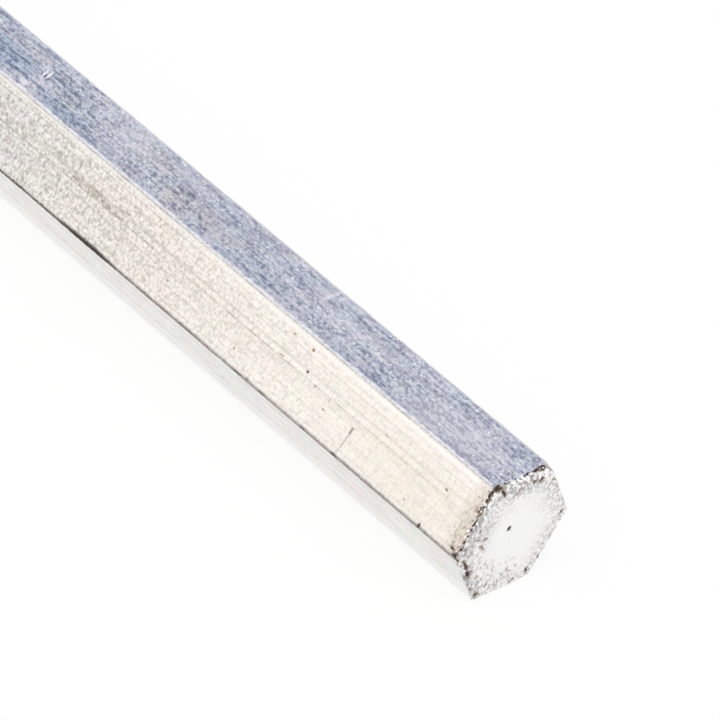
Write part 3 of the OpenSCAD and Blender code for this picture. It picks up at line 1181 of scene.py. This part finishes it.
# %% [markdown]
# ## Worn edges and a painted highlight
# A corner is the first thing to touch whatever the bar lies against, so the corners are rubbed bright.
# The ridge between the front and the upper flat has four bands: a bright bead on the upper side of it,
# which is a painted highlight, a thin dark line along it, which is a painted dark reflection, bare
# metal on its front side and a dull strip on the upper flat. A separate strip of mesh would catch the
# light wrongly, so each is a band painted round the section.

# %% Worn edges and the ridge's painted highlight
# Distances round the section in mm: from any corner, then from the ridge
WORN_EDGE = (0.34, 0.16)
RIDGE_WANDER = 0.16
BEAD_SHIFT = 0.25
BEAD_WIDTH = 0.22
RIDGE_LINE_WIDTH = 0.18
RUBBED_WIDTH = 0.4
DULL_FULL = 0.5
DULL_ENDS = 2.4

edge_beads = scaled(tree, mask(tree, fray, 0.4, 0.6), 0.65, 0.35)
line_beads = scaled(tree, mask(tree, fray, 0.6, 0.38), 0.75, 0.2)
worn_edge = mask(tree, to_corner, *WORN_EDGE)
ridge_wander = scaled(tree, short_streak, RIDGE_WANDER, RIDGE - RIDGE_WANDER / 2)
bead_middle = calc(tree, "ADD", ridge_wander, BEAD_SHIFT)
# A painted highlight along the ridge, broken into beads
ridge_highlight = times(tree, near(around, bead_middle, BEAD_WIDTH), edge_beads)
# A painted dark reflection along the ridge
ridge_dark_reflection = times(tree, near(around, ridge_wander, RIDGE_LINE_WIDTH), line_beads)
rubbed_edge = near(around, RIDGE - RUBBED_WIDTH, RUBBED_WIDTH)
rubbed_edge = times(tree, rubbed_edge, scaled(tree, grain_mix, -0.8, 1.0))
rubbed_edge = times(tree, rubbed_edge, scaled(tree, grain_reach, -0.75, 1.0))
dull_edge = mask(tree, around, RIDGE + DULL_ENDS, RIDGE + DULL_FULL)
dull_edge = times(tree, dull_edge, mask(tree, around, RIDGE, RIDGE + DULL_FULL))
print("the ridge lies", round(RIDGE, 2), "mm round the section")

# %% [markdown]
# ## Dirt and shade beside the cut
# The last strip of the front flat is stained by the saw's oil, which also left a faint film further
# back, and the crack is dark with dirt and painted shade. Stain and film are painted by the distance
# to the cut. The dark of the crack follows the depth maps that the mesh carries, made ragged by noise,
# and torn crumbs stay bright in the middle of it.

# %% Dirt and shade beside the cut
# Distances from a cut in mm, at which the stain and the film start and are full
STAIN = (2.4, 0.3)
FILM = (24.0, 6.0)


def ragged_dirt_and_shade(tree, place):
    """How dark with dirt and painted shade, and how crumbly, the mesh says that a point is, made ragged
    by noise.
    """
    ragged = noise_at(tree, place, 3.6, 3.0, 0.7)
    dirty_and_shaded = scaled(tree, ragged, 1.1, stored(tree, "dirt_and_shade"))
    crumbly = scaled(tree, ragged, 0.6, stored(tree, "crumb"))
    return dirty_and_shaded, crumbly


stain_lines = noise_at(tree, stretch(tree, place, (1, 0.45, 0.45)), 4.6, 3.0, 0.65)
stain = times(tree, mask(tree, from_cut, *STAIN), grainy)
stain_spots = times(tree, stain, mask(tree, stain_lines, 0.5, 0.36))
oily = times(tree, mask(tree, from_cut, *FILM), mask(tree, around, RIDGE - 0.5, RIDGE - 3.0))
oily = times(tree, oily, grainy)
dirty_and_shaded, crumbly = ragged_dirt_and_shade(tree, place)
# The crack painted dark: dirt and painted shade
crack_dirt_and_shade = mask(tree, dirty_and_shaded, 0.72, 1.2)
crumbs = mask(tree, crumbly, 0.8, 1.0)
print(len(tree.nodes), "nodes so far, with the dirt")

# %% [markdown]
# ## All layers of the skin
# Real wear has an order: the bar is drawn, scored, rubbed, worn at its corners, soiled and at last
# sawn. The layers are painted in about that order, one over the other, so a pit stays dark on a worn
# edge. Mix nodes could be chained by hand, but a list is easier to reorder: it says which mask, how
# much of it, which colour and how they mix, and one loop makes the nodes.

# %% Paint the layers
LINE_GREY = (0.44, 0.42, 0.395, 1)
PALE_RUB = (1.0, 0.98, 0.97, 1)
BLUE_RUB = (0.68, 0.78, 0.85, 1)
WARM_RUB = (1.0, 0.975, 0.93, 1)
DULL_RUB = (0.80, 0.81, 0.83, 1)
OIL_FILM = (0.957, 0.95, 0.932, 1)
DULL_BLUE = (0.40, 0.42, 0.52, 1)
WORN_METAL = (0.88, 0.875, 0.87, 1)
BARE_EDGE_AND_HIGHLIGHT = (0.97, 0.965, 0.97, 1)
SMUDGE_GREY = (0.36, 0.33, 0.30, 1)
NICK_WHITE = (0.99, 0.98, 0.99, 1)
FAINT_SEAM = (0.2, 0.17, 0.15, 1)
SOFT_BROWN = (0.36, 0.31, 0.275, 1)
DARK_BROWN = (0.04, 0.03, 0.023, 1)
BLOT_BROWN = (0.06, 0.04, 0.034, 1)
PIT_BROWN = (0.10, 0.066, 0.046, 1)
SPOT_BROWN = (0.34, 0.22, 0.145, 1)
SCRATCH_BROWN = (0.12, 0.09, 0.07, 1)
STAIN_TAN = (0.50, 0.42, 0.35, 1)
STAIN_BROWN = (0.26, 0.19, 0.155, 1)
CRACK_DIRT_AND_SHADE = (0.105, 0.075, 0.07, 1)
CRUMB_WHITE = (0.97, 0.965, 0.96, 1)


def paint_over(tree, colour, layers):
    """A colour with layers painted over it, each given as mask, amount, paint and way of mixing."""
    for where, amount, paint, way in layers:
        colour = tint(tree, times(tree, where, amount), colour, paint, way)
    return colour


LAYERS = (
    (lines, 0.42, LINE_GREY, "MIX"), (hairlines, 0.3, LINE_GREY, "MIX"),
    (pale_rubs, 0.35, PALE_RUB, "MIX"), (blue_rubs, 1.0, BLUE_RUB, "MULTIPLY"),
    (warm_rubs, 1.0, WARM_RUB, "MULTIPLY"), (dull_rubs, 1.0, DULL_RUB, "MULTIPLY"),
    (oily, 1.0, OIL_FILM, "MULTIPLY"), (dull_edge, 0.25, DULL_BLUE, "MIX"),
    (worn_edge, 0.9, WORN_METAL, "MIX"), (rubbed_edge, 1.0, BARE_EDGE_AND_HIGHLIGHT, "MIX"),
    (ridge_highlight, 1.0, BARE_EDGE_AND_HIGHLIGHT, "MIX"), (ridge_dark_reflection, 0.5, LINE_GREY, "MIX"),
    (smudge, 0.8, SMUDGE_GREY, "MIX"), (white_nicks, 1.0, NICK_WHITE, "MIX"),
    (under_line, 0.12, LINE_GREY, "MIX"),
    (other_seams, 0.5, FAINT_SEAM, "MIX"), (seam_soft, 0.68, SOFT_BROWN, "MIX"),
    (seam_core, 1.0, DARK_BROWN, "MIX"), (seam_blots, 0.9, BLOT_BROWN, "MIX"),
    (front_pits, 0.9, PIT_BROWN, "MIX"), (brown_spots, 1.0, SPOT_BROWN, "MIX"),
    (scratch, 0.75, SCRATCH_BROWN, "MIX"), (stain, 0.35, STAIN_TAN, "MIX"),
    (stain_spots, 0.8, STAIN_BROWN, "MIX"), (crack_dirt_and_shade, 1.0, CRACK_DIRT_AND_SHADE, "MIX"),
    (crumbs, 1.0, CRUMB_WHITE, "MIX"),
)
colour = paint_over(tree, colour, LAYERS)
print(len(LAYERS), "layers painted over the finishes")

# %% [markdown]
# ## Shine and relief of the skin
# Worn aluminium shines in patches, which follow its clouds and streaks, and it is duller along the
# dark seam. Torn bits scatter light more than they mirror it, so they are made less metallic, and so
# is the painted highlight on the ridge, so that its pale colour shows. The bump holds only what is too
# fine for the mesh: grain, streaks, die lines and pits, a fiftieth of a millimetre deep. Even shine all
# over would look like plastic.

# %% Roughness and bump of the skin
BUMP_STRENGTH = 0.6
BUMP_DEPTH_MM = 0.02
SHINE_SHIFT = 0.12


def set_surface(tree, shader, colour, roughness, metallic, bump):
    """Feeds a Principled shader its colour, roughness and metal, and a bump's normals."""
    shader_inputs = {"Base Color": colour, "Roughness": roughness, "Metallic": metallic}
    shader_inputs["Normal"] = add(tree, "Bump", bump).outputs[0]
    for name, value in shader_inputs.items():
        tree.links.new(value, shader.inputs[name])


roughness = calc(tree, "SUBTRACT", blend(tree, (clouds, 0.25), (long_streak, 0.2)), SHINE_SHIFT)
roughness = scaled(tree, seam_soft, 0.25, roughness)
# The painted highlight on the ridge is made less metallic with the torn bits, so that its pale colour
# shows
torn_and_highlight = strongest([white_nicks, white_specks, crumbs, times(tree, ridge_highlight, 0.7)])
metallic = scaled(tree, torn_and_highlight, -0.75, 1.0)
grain_height = times(tree, times(tree, grain_lumps, grain_reach), grainy)
height = scaled(tree, times(tree, short_streak, scuffed), 0.8, grain_height)
height = scaled(tree, front_pits, -2.0, height)
height = scaled(tree, lines, -0.5, height)
bump = {"Height": height, "Strength": BUMP_STRENGTH, "Distance": BUMP_DEPTH_MM * MM}
set_surface(tree, shader, colour, roughness, metallic, bump)
mesh.materials.append(skin)
print(len(tree.nodes), "nodes in the skin")

# %% [markdown]
# ## The cut face
# The saw left bright bare metal in the middle and torn, speckled metal round the rim, with old dirt
# in its deepest pits. The mesh already has the relief, so the material adds what is finer than the
# mesh: specks that get denser towards the rim, faint saw marks and a brown tinge where dirt sits.
# The saw marks run at a slant over the face, so their coordinates are turned before noise is read.

# %% Make the cut material
SAW_WAY = math.radians(65)
SAW_DRAW = 0.3

cut, tree, shader = new_material("sawn_aluminium_face")
place = place_in_mm(tree)
place_split = add(tree, "SeparateXYZ", {0: place})
across, up = place_split.outputs["Y"], place_split.outputs["Z"]
along = stored_pair(tree, "surface")[0]
cut_run = calc(tree, "SUBTRACT", calc(tree, "ABSOLUTE", along), half_length - EDGE_BACK)
specks = noise_at(tree, place, 2.4, 2.0, 0.6)
fine_specks = noise_at(tree, place, 3.4, 1.0)
blotches = noise_at(tree, place, 0.8, 3.0)
hue_clouds = noise_at(tree, place, 0.7, 2.0)
saw_along = scaled(tree, across, math.cos(SAW_WAY), times(tree, up, math.sin(SAW_WAY)))
saw_over = scaled(tree, up, math.cos(SAW_WAY), times(tree, across, -math.sin(SAW_WAY)))
saw_place = add(tree, "CombineXYZ", {0: times(tree, saw_along, SAW_DRAW), 1: saw_over}).outputs[0]
saw_marks = noise_at(tree, saw_place, 2.4, 2.0)
print(len(tree.nodes), "nodes make the patterns of the cut")

# %% [markdown]
# ## How far the torn rim reaches
# The rim is torn further in at the front than at the back, and unevenly. Low on the left it thins out
# to single dots, and along the top runs a white lip of torn crumbs, partly a painted highlight on the
# burr. A ring of one width would look drawn with a compass, so the distance from the edge is shifted
# by place and by noise before it becomes a mask.

# %% Reach of the torn rim
# Distances from the edge of the cut in mm, at which each starts or ends and at which it is full
RIM_REACH = (4.0, 0.4)
DOT_REACH = (4.4, 2.4)
LIP_STARTS = (0.25, 0.45)
LIP_ENDS = (1.6, 1.0)

low_front = scaled(tree, across, -0.2, scaled(tree, up, 0.05, -0.7))
reach = scaled(tree, blotches, 1.8, low_front)
toward_rim = mask(tree, calc(tree, "SUBTRACT", cut_run, reach), *RIM_REACH)
lowness = scaled(tree, across, -0.6, scaled(tree, up, -0.8, 4.8))
low_corner = times(tree, mask(tree, lowness, 0.8, 2.8), mask(tree, cut_run, *DOT_REACH))
lip = times(tree, mask(tree, cut_run, *LIP_STARTS), mask(tree, cut_run, *LIP_ENDS))
lip = times(tree, lip, mask(tree, up, across_flats - 3.5, across_flats - 1.0))
print(f"the rim is torn up to about {RIM_REACH[0]} mm in from the edge")

# %% [markdown]
# ## Specks of the torn rim
# The rim is a mix of grey hollows, dark holes and bright crumbs. The grey and the dark are painted
# shade of hollows too small for the mesh, with dirt in them. One noise with a soft threshold makes
# the grey, and one with a sharp threshold the dark holes and, where it is highest, the crumbs. There
# are far too many to model. They are painted over the pale bare metal in layers, as on the skin.

# %% Specks of the torn rim
CUT_TONES = ((0.2, (0.86, 0.86, 0.85)), (0.5, (0.935, 0.935, 0.925)), (0.75, (0.975, 0.975, 0.965)))
PLAIN, RIM_PINK = (1, 1, 1, 1), (1.0, 0.95, 0.94, 1)
SPECK_GREY = (0.61, 0.60, 0.59, 1)
SHADE_GREY = (0.42, 0.425, 0.44, 1)
DOT_GREY = (0.31, 0.30, 0.285, 1)
HOLE_GREY = (0.34, 0.325, 0.31, 1)
BRIGHT_CRUMB_AND_HIGHLIGHT = (0.99, 0.99, 0.985, 1)

# Grey specks, dots and dark specks: painted shade of hollows too small for the mesh, with dirt in them
grey_specks = times(tree, mask(tree, fine_specks, 0.58, 0.34), toward_rim)
grey_specks = times(tree, grey_specks, scaled(tree, low_corner, -0.5, 1.0))
dots = times(tree, mask(tree, noise_at(tree, place, 2.5, 1.0), 0.43, 0.33), low_corner)
speck_edge = scaled(tree, toward_rim, 0.2, scaled(tree, lip, 0.05, 0.2))
dark_specks = mask(tree, calc(tree, "SUBTRACT", specks, speck_edge), 0.08, -0.08)
pale_specks = times(tree, mask(tree, specks, 0.54, 0.66), toward_rim)
# Crumbs of the lip along the top: torn metal, partly a painted highlight on the burr
lip_crumbs_and_highlight = times(tree, lip, mask(tree, specks, 0.42, 0.5))
bright_crumbs_and_highlight = calc(tree, "MAXIMUM", pale_specks, lip_crumbs_and_highlight)
shaded = mask(tree, blend(tree, (specks, 1.5), (fine_specks, 1.0)), 0.85, 0.45)
shaded = times(tree, stored(tree, "shade"), shaded)

colour = ramp(tree, blend(tree, (fine_specks, 0.4), (saw_marks, 0.4), (blotches, 0.2)), *CUT_TONES)
rim_hue = tint(tree, mask(tree, hue_clouds, 0.4, 0.66), PLAIN, RIM_PINK)
CUT_LAYERS = (
    (toward_rim, 1.0, rim_hue, "MULTIPLY"), (grey_specks, 0.78, SPECK_GREY, "MIX"),
    (shaded, 1.0, SHADE_GREY, "MIX"), (dots, 0.6, DOT_GREY, "MIX"),
    (dark_specks, 0.65, HOLE_GREY, "MIX"), (bright_crumbs_and_highlight, 1.0, BRIGHT_CRUMB_AND_HIGHLIGHT, "MIX"),
)
colour = paint_over(tree, colour, CUT_LAYERS)
print(len(CUT_LAYERS), "layers painted over the bare cut")

# %% [markdown]
# ## Dirt and shade in the pits
# Dirt stays where nothing rubs it out: a brown tinge at the brim of each pit and nearly black inside,
# where the black is dirt and painted shade together, as in the crack. Ambient occlusion could find the
# hollows, but the maps that the mesh carries already say where they are. Bright crumbs are painted
# last. The rim is rougher than the middle, and the crumbs, with those of the lip and their painted
# highlight, are less metallic, as torn metal scatters light.

# %% Dirt and shade in the pits
DIRT_TINGE = (0.36, 0.29, 0.24, 1)
DIRT_AND_SHADE_BLACK = (0.08, 0.055, 0.045, 1)
LOOSE_CRUMB = (0.985, 0.985, 0.98, 1)
CUT_BUMP_STRENGTH = 0.7
CUT_BUMP_DEPTH_MM = 0.05

dirty_and_shaded, crumbly = ragged_dirt_and_shade(tree, place)
crumbs = mask(tree, crumbly, 0.62, 0.85)
colour = tint(tree, mask(tree, dirty_and_shaded, 0.72, 1.0), colour, DIRT_TINGE)
# Nearly black inside the pits and the crack: dirt with painted shade
colour = tint(tree, mask(tree, dirty_and_shaded, 0.95, 1.35), colour, DIRT_AND_SHADE_BLACK)
colour = tint(tree, crumbs, colour, LOOSE_CRUMB)
roughness = scaled(tree, toward_rim, 0.15, 0.4)
bare = calc(tree, "MAXIMUM", lip_crumbs_and_highlight, crumbs)
metallic = scaled(tree, bare, -0.9, 1.0)
height = scaled(tree, specks, toward_rim, times(tree, saw_marks, 0.15))
bump = {"Height": height, "Strength": CUT_BUMP_STRENGTH, "Distance": CUT_BUMP_DEPTH_MM * MM}
set_surface(tree, shader, colour, roughness, metallic, bump)
mesh.materials.append(cut)
print(len(tree.nodes), "nodes in the cut face")

# %% [markdown]
# ## The floor
# The bar lies on a white sheet. A sheet that is only lit would turn grey in places, so this one glows
# white to the camera and to reflections, and keeps part of its plain diffuse surface, so that the bar
# still casts a faint shadow on it. It lies a hair below the bar, so that the two never flicker.

# %% Lay the floor
FLOOR_HALF = 8.0
FLOOR_DROP_MM = 0.02
SHEET_GREY = (0.95, 0.95, 0.95, 1)
GLOW_SHARE = 0.87

floor_mesh = bpy.data.meshes.new("floor")
floor_corners = [(-FLOOR_HALF, -FLOOR_HALF, 0), (FLOOR_HALF, -FLOOR_HALF, 0),
                 (FLOOR_HALF, FLOOR_HALF, 0), (-FLOOR_HALF, FLOOR_HALF, 0)]
floor_mesh.from_pydata(floor_corners, [], [(0, 1, 2, 3)])
floor = bpy.data.objects.new("floor", floor_mesh)
floor.location.z = -FLOOR_DROP_MM * MM
bpy.context.scene.collection.objects.link(floor)

white, tree, shader = new_material("white_sheet")
rays = add(tree, "LightPath")
seen = calc(tree, "MAXIMUM", rays.outputs["Is Camera Ray"], rays.outputs["Is Glossy Ray"])
seen = calc(tree, "MAXIMUM", seen, rays.outputs["Is Transmission Ray"])
plain = add(tree, "BsdfDiffuse", {"Color": SHEET_GREY})
glow = add(tree, "Emission", {"Color": (1, 1, 1, 1), "Strength": 1.0})
share = times(tree, seen, GLOW_SHARE)
mixed = add(tree, "MixShader", {0: share, 1: plain.outputs[0], 2: glow.outputs[0]})
tree.nodes.remove(shader)
tree.links.new(mixed.outputs[0], tree.nodes["Material Output"].inputs["Surface"])
floor_mesh.materials.append(white)
print(f"a floor of {2 * FLOOR_HALF:.0f} m laid {FLOOR_DROP_MM} mm below the bar")

# %% [markdown]
# ## The light
# Metal shows whatever it faces, so light alone doesn't make a bar look right: it needs something to
# mirror. A soft tent hangs round it, warm and brighter on the camera's side, cool behind the bar,
# with one dim side. Those tones make the front flat look cream, and together with the blue-grey
# painted into its colour they make the upper flat look blue-grey.
# The tent is the world's colour, and one wide lamp adds the weak shadow.

# %% Hang the tent and the lamp
NEAR_TENT = (1.12, 1.06, 1.0, 1)
BACK_TENT = (0.98, 0.98, 1.0, 1)
DIM_TENT = (0.69, 0.705, 0.775, 1)
DIM_SIDE = (-0.55, 0.62, 0.56)
# How far a direction points back, or to the dim side, where that tone starts and where it is full
BACK_TURNS = (-0.5, 0.2)
DIM_TURNS = (0.35, 0.8)
LAMP_SIZE = 0.8
LAMP_WATTS = 4.0
LAMP_PLACE = (0.35, -0.45, 1.5)
LAMP_AIM = Vector((0.1, 0, 0))

world = bpy.data.worlds.new("soft_tent")
bpy.context.scene.world = world
world.use_nodes = True
tree = world.node_tree
looking_at = add(tree, "TexCoord").outputs["Generated"]
dim_inputs = {0: looking_at, 1: DIM_SIDE}
toward_dim = add(tree, "VectorMath", dim_inputs, operation="DOT_PRODUCT").outputs["Value"]
toward_back = add(tree, "SeparateXYZ", {0: looking_at}).outputs["Y"]
tent = tint(tree, mask(tree, toward_back, *BACK_TURNS), NEAR_TENT, BACK_TENT)
tent = tint(tree, mask(tree, toward_dim, *DIM_TURNS), tent, DIM_TENT)
tree.links.new(tent, tree.nodes["Background"].inputs["Color"])

lamp = bpy.data.objects.new("soft_lamp", bpy.data.lights.new("soft_lamp", "AREA"))
lamp.data.shape = "DISK"
lamp.data.size = LAMP_SIZE
lamp.data.energy = LAMP_WATTS
lamp.location = LAMP_PLACE
lamp.rotation_euler = (LAMP_AIM - lamp.location).to_track_quat("-Z", "Y").to_euler()
lamp.visible_camera = False
bpy.context.scene.collection.objects.link(lamp)
print(f"a tent of {len(tree.nodes)} nodes and a lamp of {LAMP_WATTS} W hung")

# %% [markdown]
# ## The view transform
# The colours go to the picture unchanged, so the view transform is Standard.

# %% Finish
bpy.context.scene.view_settings.view_transform = "Standard"
